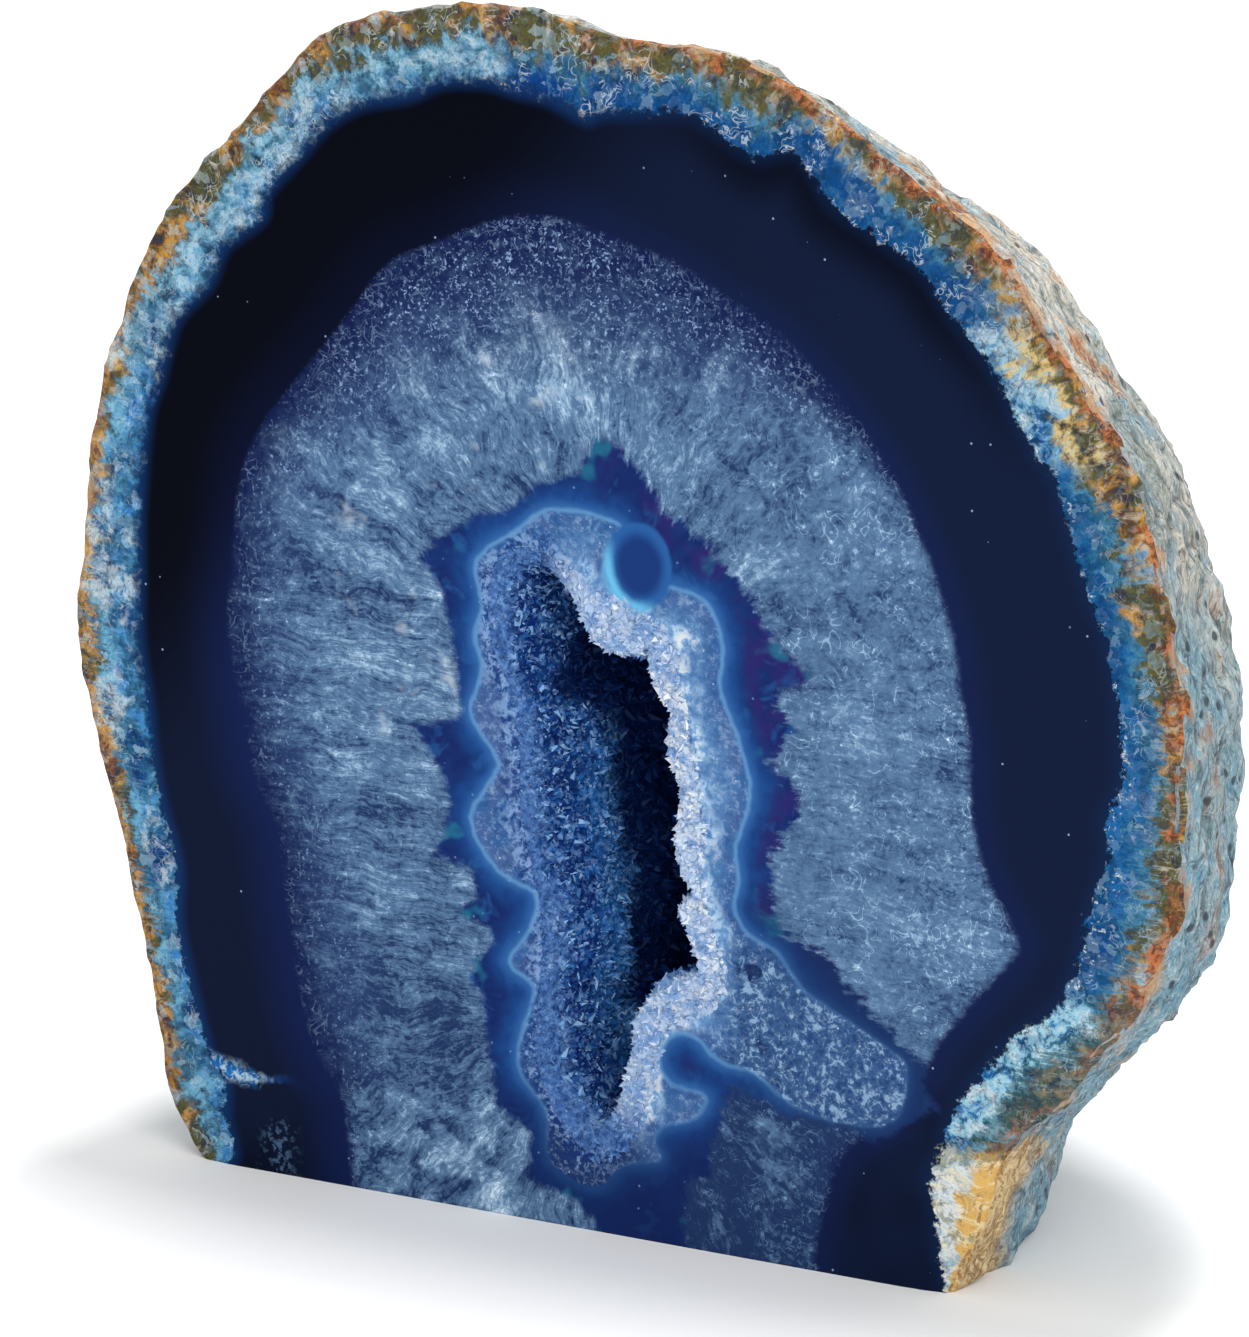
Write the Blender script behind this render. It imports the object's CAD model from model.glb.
# %% [markdown]
# # A dyed blue agate geode
# This notebook dresses one half of a blue agate nodule. The solid model holds the stone's real
# size, its hollow and the flat base it stands on. The cells below make the fine stone surface,
# the crust of quartz points, the materials, and then the light and the camera.

# %% The frame
import math

import bmesh
import bpy
import numpy as np
from mathutils import Matrix, Vector, noise


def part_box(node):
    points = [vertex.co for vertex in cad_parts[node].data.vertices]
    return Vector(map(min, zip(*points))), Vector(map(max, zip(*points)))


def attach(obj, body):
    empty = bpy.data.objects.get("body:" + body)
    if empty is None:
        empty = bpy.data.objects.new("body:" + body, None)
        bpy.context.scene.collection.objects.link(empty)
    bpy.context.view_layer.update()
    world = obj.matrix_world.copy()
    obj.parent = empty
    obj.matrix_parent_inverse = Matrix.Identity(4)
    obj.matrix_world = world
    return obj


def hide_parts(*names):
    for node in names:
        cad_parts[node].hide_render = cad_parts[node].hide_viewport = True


MM = 0.001

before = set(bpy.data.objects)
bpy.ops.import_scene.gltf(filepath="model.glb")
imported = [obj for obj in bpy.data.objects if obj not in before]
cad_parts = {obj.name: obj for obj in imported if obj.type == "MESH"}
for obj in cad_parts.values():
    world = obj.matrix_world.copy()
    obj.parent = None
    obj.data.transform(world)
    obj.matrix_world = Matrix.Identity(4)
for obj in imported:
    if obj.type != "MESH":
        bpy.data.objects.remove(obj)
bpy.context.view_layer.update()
stone_low, stone_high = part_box("agate_half")
print("stone in mm:", [round(side / MM, 1) for side in Vector(stone_high) - Vector(stone_low)])

# %% [markdown]
# ## The plane of the cut
# Everything on the polished face is drawn in the plane of the saw cut, in millimetres, with x
# to the right of someone facing the stone and z up from the base. The face is the front of the
# stone's box. One helper turns a drawn point into a place in the scene.

# %% The plane of the cut
FACE_Y = stone_low[1]
FACE_X = -0.18 * MM


def on_face(x, z, depth=0.0):
    """The place of a point drawn in millimetres on the face, a depth in millimetres behind it."""
    return np.stack([x * MM + FACE_X, depth * MM + FACE_Y, z * MM], axis=-1)


print("the face lies at y =", round(FACE_Y / MM, 2), "mm")

# %% [markdown]
# ## The outlines
# Agate grew in bands, from the rind inwards, so the face is described by the edges between the
# bands. Each edge is a list of the points where it turns. A smooth closed curve is run through
# an edge that flows, and straight lines join the points of one that is jagged. Where an edge
# runs off the bottom of the face, it is closed below the base.

# %% The outlines
RIM_RADII = [
    58.6, 57.6, 56.9, 56.0, 56.0, 55.9, 55.7, 56.7, 57.0, 56.3, 59.1, 60.9,
    61.7, 59.9, 59.0, 59.1, 58.4, 58.3, 58.6, 59.9, 60.3, 62.8, 67.4, 75.6,
    79.0, 72.0, 70.0, 70.0, 71.0, 73.0, 71.8, 62.8, 62.1, 62.4, 61.8, 59.2,
]
FACE_CENTRE = (0.0, 62.0)

HOLLOW_MOUTH = [
    (-7.6, 68.0), (-11.6, 67.0), (-13.2, 62.6), (-12.6, 57.4), (-10.6, 53.0), (-9.8, 48.0),
    (-9.9, 43.0), (-9.0, 38.0), (-7.8, 33.0), (-7.5, 28.0), (-8.0, 22.5), (-8.2, 17.0),
    (-6.6, 12.2), (-3.4, 8.4), (0.6, 8.2), (3.2, 12.0), (4.6, 17.6), (6.4, 22.4),
    (11.4, 25.8), (11.4, 31.0), (9.6, 37.0), (9.7, 43.0), (8.7, 50.0), (7.2, 56.0),
    (6.2, 61.0), (1.2, 63.6), (-2.6, 65.2),
]

RIND_EDGE = [
    (-40, -15), (-42.1, 1.2), (-43.0, 4.7), (-42.9, 8.8), (-44.4, 10.4), (-45.8, 14.7),
    (-47.1, 19.9), (-48.1, 24.8), (-48.0, 30.6), (-49.8, 36.7), (-50.7, 41.9), (-51.1, 46.8),
    (-52.0, 53.3), (-51.8, 60.2), (-51.7, 66.4), (-50.6, 76.0), (-49.1, 80.2), (-47.2, 86.1),
    (-43.5, 90.1), (-41.7, 94.0), (-37.5, 97.3), (-37.1, 99.7), (-33.4, 103.7), (-30.3, 107.2),
    (-26.3, 109.6), (-21.4, 110.8), (-17.9, 112.5), (-13.2, 113.0), (-9.7, 112.4), (-6.3, 112.0),
    (-2.5, 110.5), (-1.0, 111.2), (3.3, 111.6), (7.6, 112.0), (10.6, 110.8), (14.8, 108.5),
    (19.0, 109.4), (21.2, 107.2), (22.9, 104.7), (26.7, 102.7), (31.8, 99.8), (34.3, 96.6),
    (39.4, 91.0), (41.1, 88.0), (43.2, 84.3), (45.8, 81.1), (47.1, 76.9), (49.7, 69.8),
    (51.0, 67.2), (52.4, 60.4), (52.8, 53.4), (51.4, 49.8), (51.7, 46.2), (50.1, 40.9),
    (47.9, 32.5), (45.2, 28.9), (43.0, 27.4), (39.0, 22.5), (35.9, 17.6), (35.2, 14.7),
    (33.9, 11.5), (34.5, 8.6), (34.9, 3.6), (35.4, 0.3), (33.0, -15),
]

QUARTZ_EDGE = [
    (-28, -15), (-28.8, 1.1), (-29.2, 5.1), (-29.6, 8.7), (-32.1, 12.8), (-33.9, 17.9),
    (-35.8, 29.7), (-36.6, 35.9), (-39.0, 40.9), (-40.3, 47.3), (-41.8, 55.5), (-41.3, 61.5),
    (-40.8, 67.7), (-39.7, 72.8), (-37.4, 77.2), (-34.6, 80.7), (-29.1, 87.4), (-23.9, 94.0),
    (-19.4, 96.4), (-15.0, 98.5), (-10.6, 100.2), (-5.8, 100.6), (-1.0, 99.7), (3.3, 98.6),
    (7.7, 97.5), (11.9, 95.2), (17.5, 92.3), (23.5, 87.1), (29.1, 80.6), (33.4, 72.4),
    (36.0, 65.2), (36.8, 60.0), (37.9, 54.6), (38.0, 49.2), (39.5, 42.9), (42.4, 37.8),
    (43.0, 35.5), (40.2, 31.8), (37.7, 28.6), (34.9, 24.9), (33.5, 21.9), (31.0, 18.6),
    (30.1, 16.5), (25.6, 12.9), (23.7, 8.7), (22.7, 4.3), (22.2, 0.9), (22, -15),
]

BLUE_BAND_EDGE = [
    (-2.5, -15), (-1.8, 0.6), (-3.5, 2.5), (-9.3, 4.3), (-8.8, 8.8), (-12.6, 11.5),
    (-13.4, 17.4), (-14.0, 22.3), (-15.7, 23.7), (-12.8, 28.5), (-13.4, 29.5), (-16.9, 30.1),
    (-14.6, 32.6), (-15.1, 34.8), (-19.1, 35.8), (-18.0, 38.6), (-17.4, 41.5), (-18.5, 44.5),
    (-20.3, 47.0), (-21.5, 48.8), (-16.2, 50.3), (-16.7, 53.9), (-17.2, 58.8), (-18.4, 62.9),
    (-20.8, 66.0), (-14.3, 70.9), (-11.4, 71.4), (-8.0, 74.2), (-3.4, 76.4), (-1.0, 80.4),
    (1.2, 79.1), (4.0, 76.3), (5.7, 73.4), (9.6, 71.8), (11.9, 68.9), (14.8, 66.7),
    (16.4, 63.3), (20.9, 59.1), (17.5, 56.6), (19.8, 53.7), (17.0, 50.2), (20.4, 47.5),
    (19.3, 44.1), (17.1, 41.2), (17.6, 37.5), (18.8, 34.0), (22.8, 33.5), (24.4, 32.1),
    (28.6, 27.5), (33.9, 23.3), (36.0, 18.0), (29.0, 13.5), (25.7, 13.5), (19.0, 14.9),
    (12.9, 16.8), (11.6, 13.0), (10.6, 8.1), (8.1, 5.7), (8.0, -15),
]

LIGHT_LINE = [
    (-2.8, 72.3), (-6.8, 72.0), (-9.7, 69.8), (-14.4, 66.0), (-13.7, 61.8), (-14.6, 58.5),
    (-13.8, 55.4), (-15.0, 50.5), (-12.1, 46.0), (-15.1, 40.2), (-12.1, 35.2), (-8.1, 33.6),
    (-8.7, 29.8), (-11.0, 26.1), (-8.2, 23.8), (-9.6, 19.2), (-9.9, 15.2), (-7.0, 11.4),
    (-6.5, 6.4), (-1.8, 4.5), (1.2, 7.2), (3.0, 7.7), (5.5, 8.6), (4.7, 10.5), (6.0, 12.1),
    (9.0, 13.3), (10.3, 15.2), (9.6, 16.1), (6.6, 16.5), (5.3, 18.7), (6.5, 21.3),
    (9.0, 21.7), (11.6, 19.7), (15.6, 19.0), (19.2, 16.6), (24.1, 15.5), (30.1, 16.5),
    (31.5, 22.0), (29.0, 24.0), (24.0, 26.5), (20.5, 28.3), (17.7, 31.6), (14.9, 32.8),
    (13.2, 35.2), (13.7, 38.0), (13.4, 41.6), (14.9, 46.7), (13.7, 51.8), (11.7, 56.8),
    (11.9, 61.1), (10.3, 65.0), (6.3, 66.1), (5.2, 64.9), (1.7, 63.7), (-0.5, 65.7),
    (-0.4, 67.9), (1.7, 70.2), (0.6, 71.7),
]


def spline(before, start, end, after, share):
    """A smooth value between start and end, by the Catmull-Rom rule."""
    slope_in = (end - before) / 2
    slope_out = (after - start) / 2
    change = start - end
    return (
        start
        + slope_in * share
        + (-3 * change - 2 * slope_in - slope_out) * share**2
        + (2 * change + slope_in + slope_out) * share**3
    )


def around(values, position):
    """The closed smooth curve through values, at positions counted in values."""
    values = np.asarray(values, float)
    first = np.floor(position).astype(int)
    near = [values[(first + k) % len(values)] for k in (-1, 0, 1, 2)]
    share = position - first
    if values.ndim == 2:
        share = share[:, None]
    return spline(*near, share)


def flowing(points, steps=6):
    """A smooth closed outline through points."""
    return around(points, np.arange(len(points) * steps) / steps)


def distance_inside(outline, x, z):
    """How far each place (x, z) lies inside a closed outline. Outside, it is below zero."""
    starts = np.asarray(outline, float)
    runs = np.roll(starts, -1, axis=0) - starts
    nearest = np.full(x.shape, np.inf)
    inside = np.zeros(x.shape, bool)
    for (x0, z0), (run_x, run_z) in zip(starts, runs):
        share = ((x - x0) * run_x + (z - z0) * run_z) / (run_x**2 + run_z**2)
        share = np.clip(share, 0, 1)
        away = np.hypot(x - x0 - share * run_x, z - z0 - share * run_z)
        nearest = np.minimum(nearest, away)
        if run_z:
            crossed = (z0 > z) != (z0 + run_z > z)
            inside ^= crossed & (x < x0 + (z - z0) / run_z * run_x)
    return np.where(inside, nearest, -nearest)


for name, outline in (("rind", RIND_EDGE), ("quartz", QUARTZ_EDGE), ("line", LIGHT_LINE)):
    print(name, "edge:", len(outline), "points,", len(flowing(outline)), "when smoothed")

# %% [markdown]
# ## The columns of the stone
# The stone is one closed surface that could be wrapped round it like a fishing net. Each column
# of the net starts in the middle of the back, runs over the rind to the rim, turns onto the
# polished face, crosses it to the mouth of the hollow and goes down into the hollow. All
# columns fan out from one point on the face, so that neighbours never cross.

# %% The columns
COLUMNS = 480
FAN = (0.0, 40.0)


def fan_angle(points):
    return np.unwrap(np.arctan2(points[:, 1] - FAN[1], points[:, 0] - FAN[0]))


def by_fan(points, angles):
    """The points of a closed outline at evenly fanned angles."""
    found = fan_angle(points)
    if found[-1] < found[0]:
        points, found = points[::-1], found[::-1]
    found = np.concatenate([found - math.tau, found, found + math.tau])
    points = np.concatenate([points] * 3)
    return np.stack([np.interp(angles, found, points[:, k]) for k in (0, 1)], axis=1)


def rim_radius(angle):
    return around(RIM_RADII, (angle % math.tau) / math.radians(10.0))


turns = np.arange(3600) / 3600 * math.tau
radii = rim_radius(turns)
rim_all = np.stack(
    [FACE_CENTRE[0] + radii * np.cos(turns), FACE_CENTRE[1] + radii * np.sin(turns)], axis=1
)
fan = np.arange(COLUMNS) / COLUMNS * math.tau
rim = by_fan(rim_all, fan)
mouth = by_fan(flowing(HOLLOW_MOUTH, 12), fan)
rim_angle = np.arctan2(rim[:, 1] - FACE_CENTRE[1], rim[:, 0] - FACE_CENTRE[0])
print("face:", np.ptp(rim[:, 0]).round(1), "mm wide, mouth", np.ptp(mouth[:, 1]).round(1), "mm tall")

# %% [markdown]
# ## The rind's relief
# The back is part of a leaning ellipsoid. Lumps, ledges that run side by side with the rim, and
# pits stand out from it or sink into it. The solid model has the same large forms, and this
# net has room for the finer ones: knobbly ridges and grain down to about a millimetre. Noise
# from Blender's own noise module gives the same result on each run.

# %% The rind's relief
DEPTH = 54.0
LEAN_RIGHT = 0.07
LEAN_DOWN = 0.29
MEAN_RADIUS = 60.0
RIM_ROUNDING = 1.2


def ledges(point):
    """Steps side by side with the rim, from 0 to 1."""
    wander = 0.9 * noise.noise(point / 16.0)
    phase = (point.y / 7.5 + wander) % 1.0
    return min(phase / 0.75, (1.0 - phase) / 0.25)


def large_relief(point):
    """The lumps, ledges and pits that the solid model has too, in millimetres."""
    lumps = noise.fractal(point / 19.0, 1.0, 2.0, 3)
    pits = max(0.0, 1.0 - noise.voronoi(point / 13.0)[0][0] / 0.3)
    fade = min(1.0, point.y / 5.0)
    return (0.4 + 0.6 * fade) * 1.5 * lumps + fade * (0.75 * (ledges(point) - 0.5) - 1.1 * pits)


def fine_relief(point):
    """Ropy ridges along the ledges and small grains, from about -1 to 1."""
    bent = Vector((point.x, 0.0, point.z)) / 4.6
    wander = noise.noise(point / 5.0) * 1.5
    rope = noise.noise(Vector((bent.x, point.y / 1.7 + wander, bent.z)))
    knobs = noise.noise(point / 2.4)
    grain = noise.noise(point / 1.1)
    return 0.55 * rope + 0.5 * knobs + 0.3 * grain


ROPE_HEIGHT = 0.95
print("the rind's fine relief is up to", ROPE_HEIGHT, "mm")

# %% [markdown]
# ## Weaving the net
# The rows of the net are worked out one group at a time: the back, the rounded rim, the face
# and the hollow. Each row is a loop of points, and each pair of rows is joined by squares. What
# runs below the base is sawn off with a plane cut, and the cut is filled.

# %% Weaving the net
BACK_ROWS = 104
RIM_ROWS = 4
FACE_ROWS = 74
HOLLOW_ROWS = 14
HOLLOW_DEPTH = 26.6
HOLLOW_LEAN = 0.30


def back_row(height):
    """A row of the back. height runs from 0 at the rim to 1 in the middle of the back."""
    across = math.sqrt(1.0 - height**2)
    depth = DEPTH * height
    radius = (MEAN_RADIUS + (rim_radius(rim_angle) - MEAN_RADIUS) * across) * across
    x = radius * np.cos(rim_angle) + LEAN_RIGHT * depth
    z = FACE_CENTRE[1] + radius * np.sin(rim_angle) - LEAN_DOWN * depth
    return np.stack([x, np.full(COLUMNS, depth), z], axis=1)


def outward(height):
    across = math.sqrt(1.0 - height**2)
    away = np.stack(
        [np.cos(rim_angle) * across, np.full(COLUMNS, height), np.sin(rim_angle) * across], axis=1
    )
    return away


def roughened(points, away, share):
    """Moves a row of points outward by the rind's relief."""
    moved = []
    fine = []
    for point, direction, part in zip(points, away, np.broadcast_to(share, COLUMNS)):
        place = Vector(point)
        detail = fine_relief(place)
        lift = large_relief(place) + ROPE_HEIGHT * part * detail
        moved.append(place + Vector(direction) * lift)
        fine.append(detail)
    return np.array(moved), np.array(fine)


def net_rows():
    """The rows of the stone from the middle of its back to the bottom of its hollow."""
    rows = []
    relief = []
    least = RIM_ROUNDING / DEPTH
    for step in range(BACK_ROWS):
        share = 1.0 - step / (BACK_ROWS - 1)
        height = least + (0.9995 - least) * (0.55 * share + 0.45 * share**2.2)
        points, fine = roughened(back_row(height), outward(height), 1.0)
        rows.append(points)
        relief.append(fine)
    for step in range(1, RIM_ROWS + 1):
        turn = math.radians(90 * (1 - step / RIM_ROWS))
        points = back_row(0.0)
        inset = RIM_ROUNDING * (1 - math.sin(turn))
        spoke = outward(0.0)
        points = points - spoke * inset
        points, fine = roughened(points, spoke, math.sin(turn) * 0.7)
        points[:, 1] = RIM_ROUNDING * (1 - math.cos(turn))
        rows.append(points)
        relief.append(fine)
    edge = rows[-1]
    lip = np.stack([mouth[:, 0], np.zeros(COLUMNS), mouth[:, 1]], axis=1)
    for step in range(1, FACE_ROWS + 1):
        share = step / FACE_ROWS
        rows.append(edge + (lip - edge) * share)
        relief.append(np.zeros(COLUMNS))
    middle = np.array([FAN[0], 0.0, FAN[1]])
    for step in range(1, HOLLOW_ROWS + 1):
        sink = math.sin(math.radians(89.6) * step / HOLLOW_ROWS)
        size = (1.0 - sink**2.6) ** (1 / 2.6)
        depth = HOLLOW_DEPTH * sink
        rows.append(middle + (lip - middle) * size + np.array([HOLLOW_LEAN * depth, depth, 0.0]))
        relief.append(np.zeros(COLUMNS))
    return np.array(rows), np.array(relief)


rows, row_relief = net_rows()
print("the net has", rows.shape[0], "rows of", rows.shape[1], "points")

# %% [markdown]
# ## Chips along the rim
# The saw left the rim's edge uneven. A saw cut through crumbly rind doesn't keep a clean
# corner, so the outer two or three millimetres of the face drop back a little here and there,
# most of all at the lower right, where a step of the rind broke away.

# %% Chips along the rim
CHIP_WIDTH = 4.0
CHIP_DEPTH = 0.8


def chip_face(points):
    """Sinks the outer edge of the face in places. points are in millimetres on the face."""
    x, z = points[..., 0], points[..., 2]
    radius = np.hypot(x - FACE_CENTRE[0], z - FACE_CENTRE[1])
    edge = rim_radius(np.arctan2(z - FACE_CENTRE[1], x - FACE_CENTRE[0])) - radius
    near = np.clip(1.0 - edge / CHIP_WIDTH, 0.0, 1.0)
    for index in np.argwhere((near > 0) & (points[..., 1] < 6.0)):
        place = Vector(points[tuple(index)])
        lumps = 0.5 + 0.8 * noise.noise(place / 6.0) + 0.5 * noise.noise(place / 1.8)
        sunk = CHIP_DEPTH * near[tuple(index)] ** 1.5 * max(0.0, lumps)
        points[tuple(index) + (1,)] += sunk


face_start = BACK_ROWS + RIM_ROWS - 2
chip_face(rows[face_start : face_start + 16])
print("chips reach", CHIP_WIDTH, "mm in from the rim")

# %% The stone's mesh


def woven(rows, close_ends):
    """A mesh of squares between the rows, with its ends closed to a point."""
    shape = bmesh.new()
    count = rows.shape[1]
    verts = [[shape.verts.new(point) for point in row] for row in rows]
    for above, below in zip(verts, verts[1:]):
        for k in range(count):
            n = (k + 1) % count
            shape.faces.new((above[k], above[n], below[n], below[k]))
    for end in close_ends:
        ring = verts[end]
        tip = shape.verts.new(rows[end].mean(axis=0))
        for k in range(count):
            shape.faces.new((ring[k], ring[(k + 1) % count], tip))
    bmesh.ops.recalc_face_normals(shape, faces=shape.faces)
    return shape


def saw_base(shape):
    """Cuts off what lies below the base and fills the cut. Returns the new faces."""
    cut = bmesh.ops.bisect_plane(
        shape,
        geom=[*shape.verts, *shape.edges, *shape.faces],
        plane_co=(0, 0, 0),
        plane_no=(0, 0, 1),
        clear_inner=True,
    )
    edges = [item for item in cut["geom_cut"] if isinstance(item, bmesh.types.BMEdge)]
    made = bmesh.ops.contextual_create(shape, geom=edges)["faces"]
    return bmesh.ops.triangulate(shape, faces=made)["faces"]


stone_shape = woven(rows, (0, -1))
layer = stone_shape.verts.layers.float.new("relief")
for vert, value in zip(stone_shape.verts, row_relief.ravel()):
    vert[layer] = value
base_faces = saw_base(stone_shape)
FACE_SLOT, RIND_SLOT, BASE_SLOT = range(3)
for face in stone_shape.faces:
    middle = face.calc_center_median()
    on_front = middle.y < 1.3 and abs(face.normal.y) > 0.5
    to_hub = Vector((FAN[0] + HOLLOW_LEAN * middle.y - middle.x, 0.0, FAN[1] - middle.z))
    in_hollow = middle.y < HOLLOW_DEPTH + 1.0 and to_hub.length < 34.0 and to_hub.dot(face.normal) > 0.0
    face.material_index = FACE_SLOT if on_front or in_hollow else RIND_SLOT
    face.smooth = True
for face in base_faces:
    face.material_index = BASE_SLOT
    face.smooth = False
stone_mesh = bpy.data.meshes.new("agate_stone")
stone_shape.to_mesh(stone_mesh)
stone_shape.free()
print("stone:", len(stone_mesh.vertices), "points,", sum(len(f.vertices) - 2 for f in stone_mesh.polygons), "triangles")

# %% [markdown]
# ## Distances for the paint
# The materials need to know how far a place on the face is from each edge. A shader can't
# follow an outline, so the distances are worked out here, once for each point of the net, and
# stored on it as attributes. Distances blend evenly between points, so an edge stays sharp
# even where it crosses a square. The fibres of the quartz grew at right angles to an upright
# core. Each point keeps the root of its fibre and its distance along it.

# %% Distances for the paint
CORE_LOW = (-1.0, 22.0)
CORE_HIGH = (0.0, 60.0)
CORE_RADIUS = 14.0


def fibre_of(x, z):
    """The root on the core's outline of the fibre through each place, and the length to it."""
    low = np.array(CORE_LOW)
    run = np.array(CORE_HIGH) - low
    share = ((x - low[0]) * run[0] + (z - low[1]) * run[1]) / run.dot(run)
    share = np.clip(share, 0, 1)
    core_x = low[0] + share * run[0]
    core_z = low[1] + share * run[1]
    away = np.maximum(np.hypot(x - core_x, z - core_z), 1e-3)
    root_x = core_x + (x - core_x) / away * CORE_RADIUS
    root_z = core_z + (z - core_z) / away * CORE_RADIUS
    return root_x, away - CORE_RADIUS, root_z


def arc_back(x, y, z):
    """How far a place on the back lies from the rim, along the surface, about in millimetres."""
    middle_x = FACE_CENTRE[0] + LEAN_RIGHT * y
    middle_z = FACE_CENTRE[1] - LEAN_DOWN * y
    away = np.hypot(x - middle_x, z - middle_z) / MEAN_RADIUS
    turn = np.arctan2(y / DEPTH, away)
    return turn * (DEPTH + MEAN_RADIUS) / 2


def store(mesh, name, values):
    kind = "FLOAT_VECTOR" if values.ndim == 2 else "FLOAT"
    attribute = mesh.attributes.new(name, kind, "POINT")
    attribute.data.foreach_set("vector" if values.ndim == 2 else "value", values.ravel())


def place_of(mesh):
    """The points of a mesh as columns x, y and z."""
    flat = np.empty(len(mesh.vertices) * 3)
    mesh.vertices.foreach_get("co", flat)
    return flat.reshape(-1, 3).T


x, y, z = place_of(stone_mesh)
inside_of = {
    "rim": distance_inside(rim_all[::10], x, z),
    "rind": -distance_inside(flowing(RIND_EDGE, 3), x, z),
    "quartz": distance_inside(flowing(QUARTZ_EDGE, 4), x, z),
    "band": distance_inside(BLUE_BAND_EDGE, x, z),
    "line": distance_inside(flowing(LIGHT_LINE, 4), x, z),
    "mouth": -distance_inside(flowing(HOLLOW_MOUTH, 3), x, z),
}
for name, values in inside_of.items():
    store(stone_mesh, name, values)
store(stone_mesh, "fibre", np.stack(fibre_of(x, z), axis=1))
store(stone_mesh, "strand", np.stack([x, arc_back(x, y, z), z], axis=1))
stone_mesh.transform(Matrix.Translation((FACE_X, FACE_Y, 0.0)) @ Matrix.Scale(MM, 4))
print("attributes:", ", ".join(a.name for a in stone_mesh.attributes if not a.name.startswith(".")))

# %% [markdown]
# ## Writing shaders as sums
# A material is easier to read as a formula than as a drawing of nodes. The class below wraps a
# socket, and each sum on it adds the Math node that does it. Any other node comes from one
# method, which takes the node's type, its settings and what goes into its sockets.

# %% Shader sums


class Wire:
    """An output socket that can be used in sums."""

    def __init__(self, paint, socket):
        self.paint = paint
        self.socket = socket

    def math(self, operation, *others):
        return self.paint.node("ShaderNodeMath", {"operation": operation}, [self, *others])

    def __add__(self, other):
        return self.math("ADD", other)

    def __radd__(self, other):
        return self.math("ADD", other)

    def __sub__(self, other):
        return self.math("SUBTRACT", other)

    def __rsub__(self, other):
        return self.paint.node("ShaderNodeMath", {"operation": "SUBTRACT"}, [other, self])

    def __mul__(self, other):
        return self.math("MULTIPLY", other)

    def __rmul__(self, other):
        return self.math("MULTIPLY", other)

    def __truediv__(self, other):
        return self.math("DIVIDE", other)

    def __neg__(self):
        return self.math("MULTIPLY", -1.0)

    def rise(self, low, high):
        """0 below low and 1 above high, with a smooth step between. low may be the larger."""
        inputs = {"Value": self, "From Min": low, "From Max": high}
        return self.paint.node("ShaderNodeMapRange", {"interpolation_type": "SMOOTHSTEP"}, inputs)

    def near(self, middle, width):
        """1 at middle, falling to 0 at width on either side of it."""
        return (self - middle).math("ABSOLUTE").rise(width, 0.0)


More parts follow.
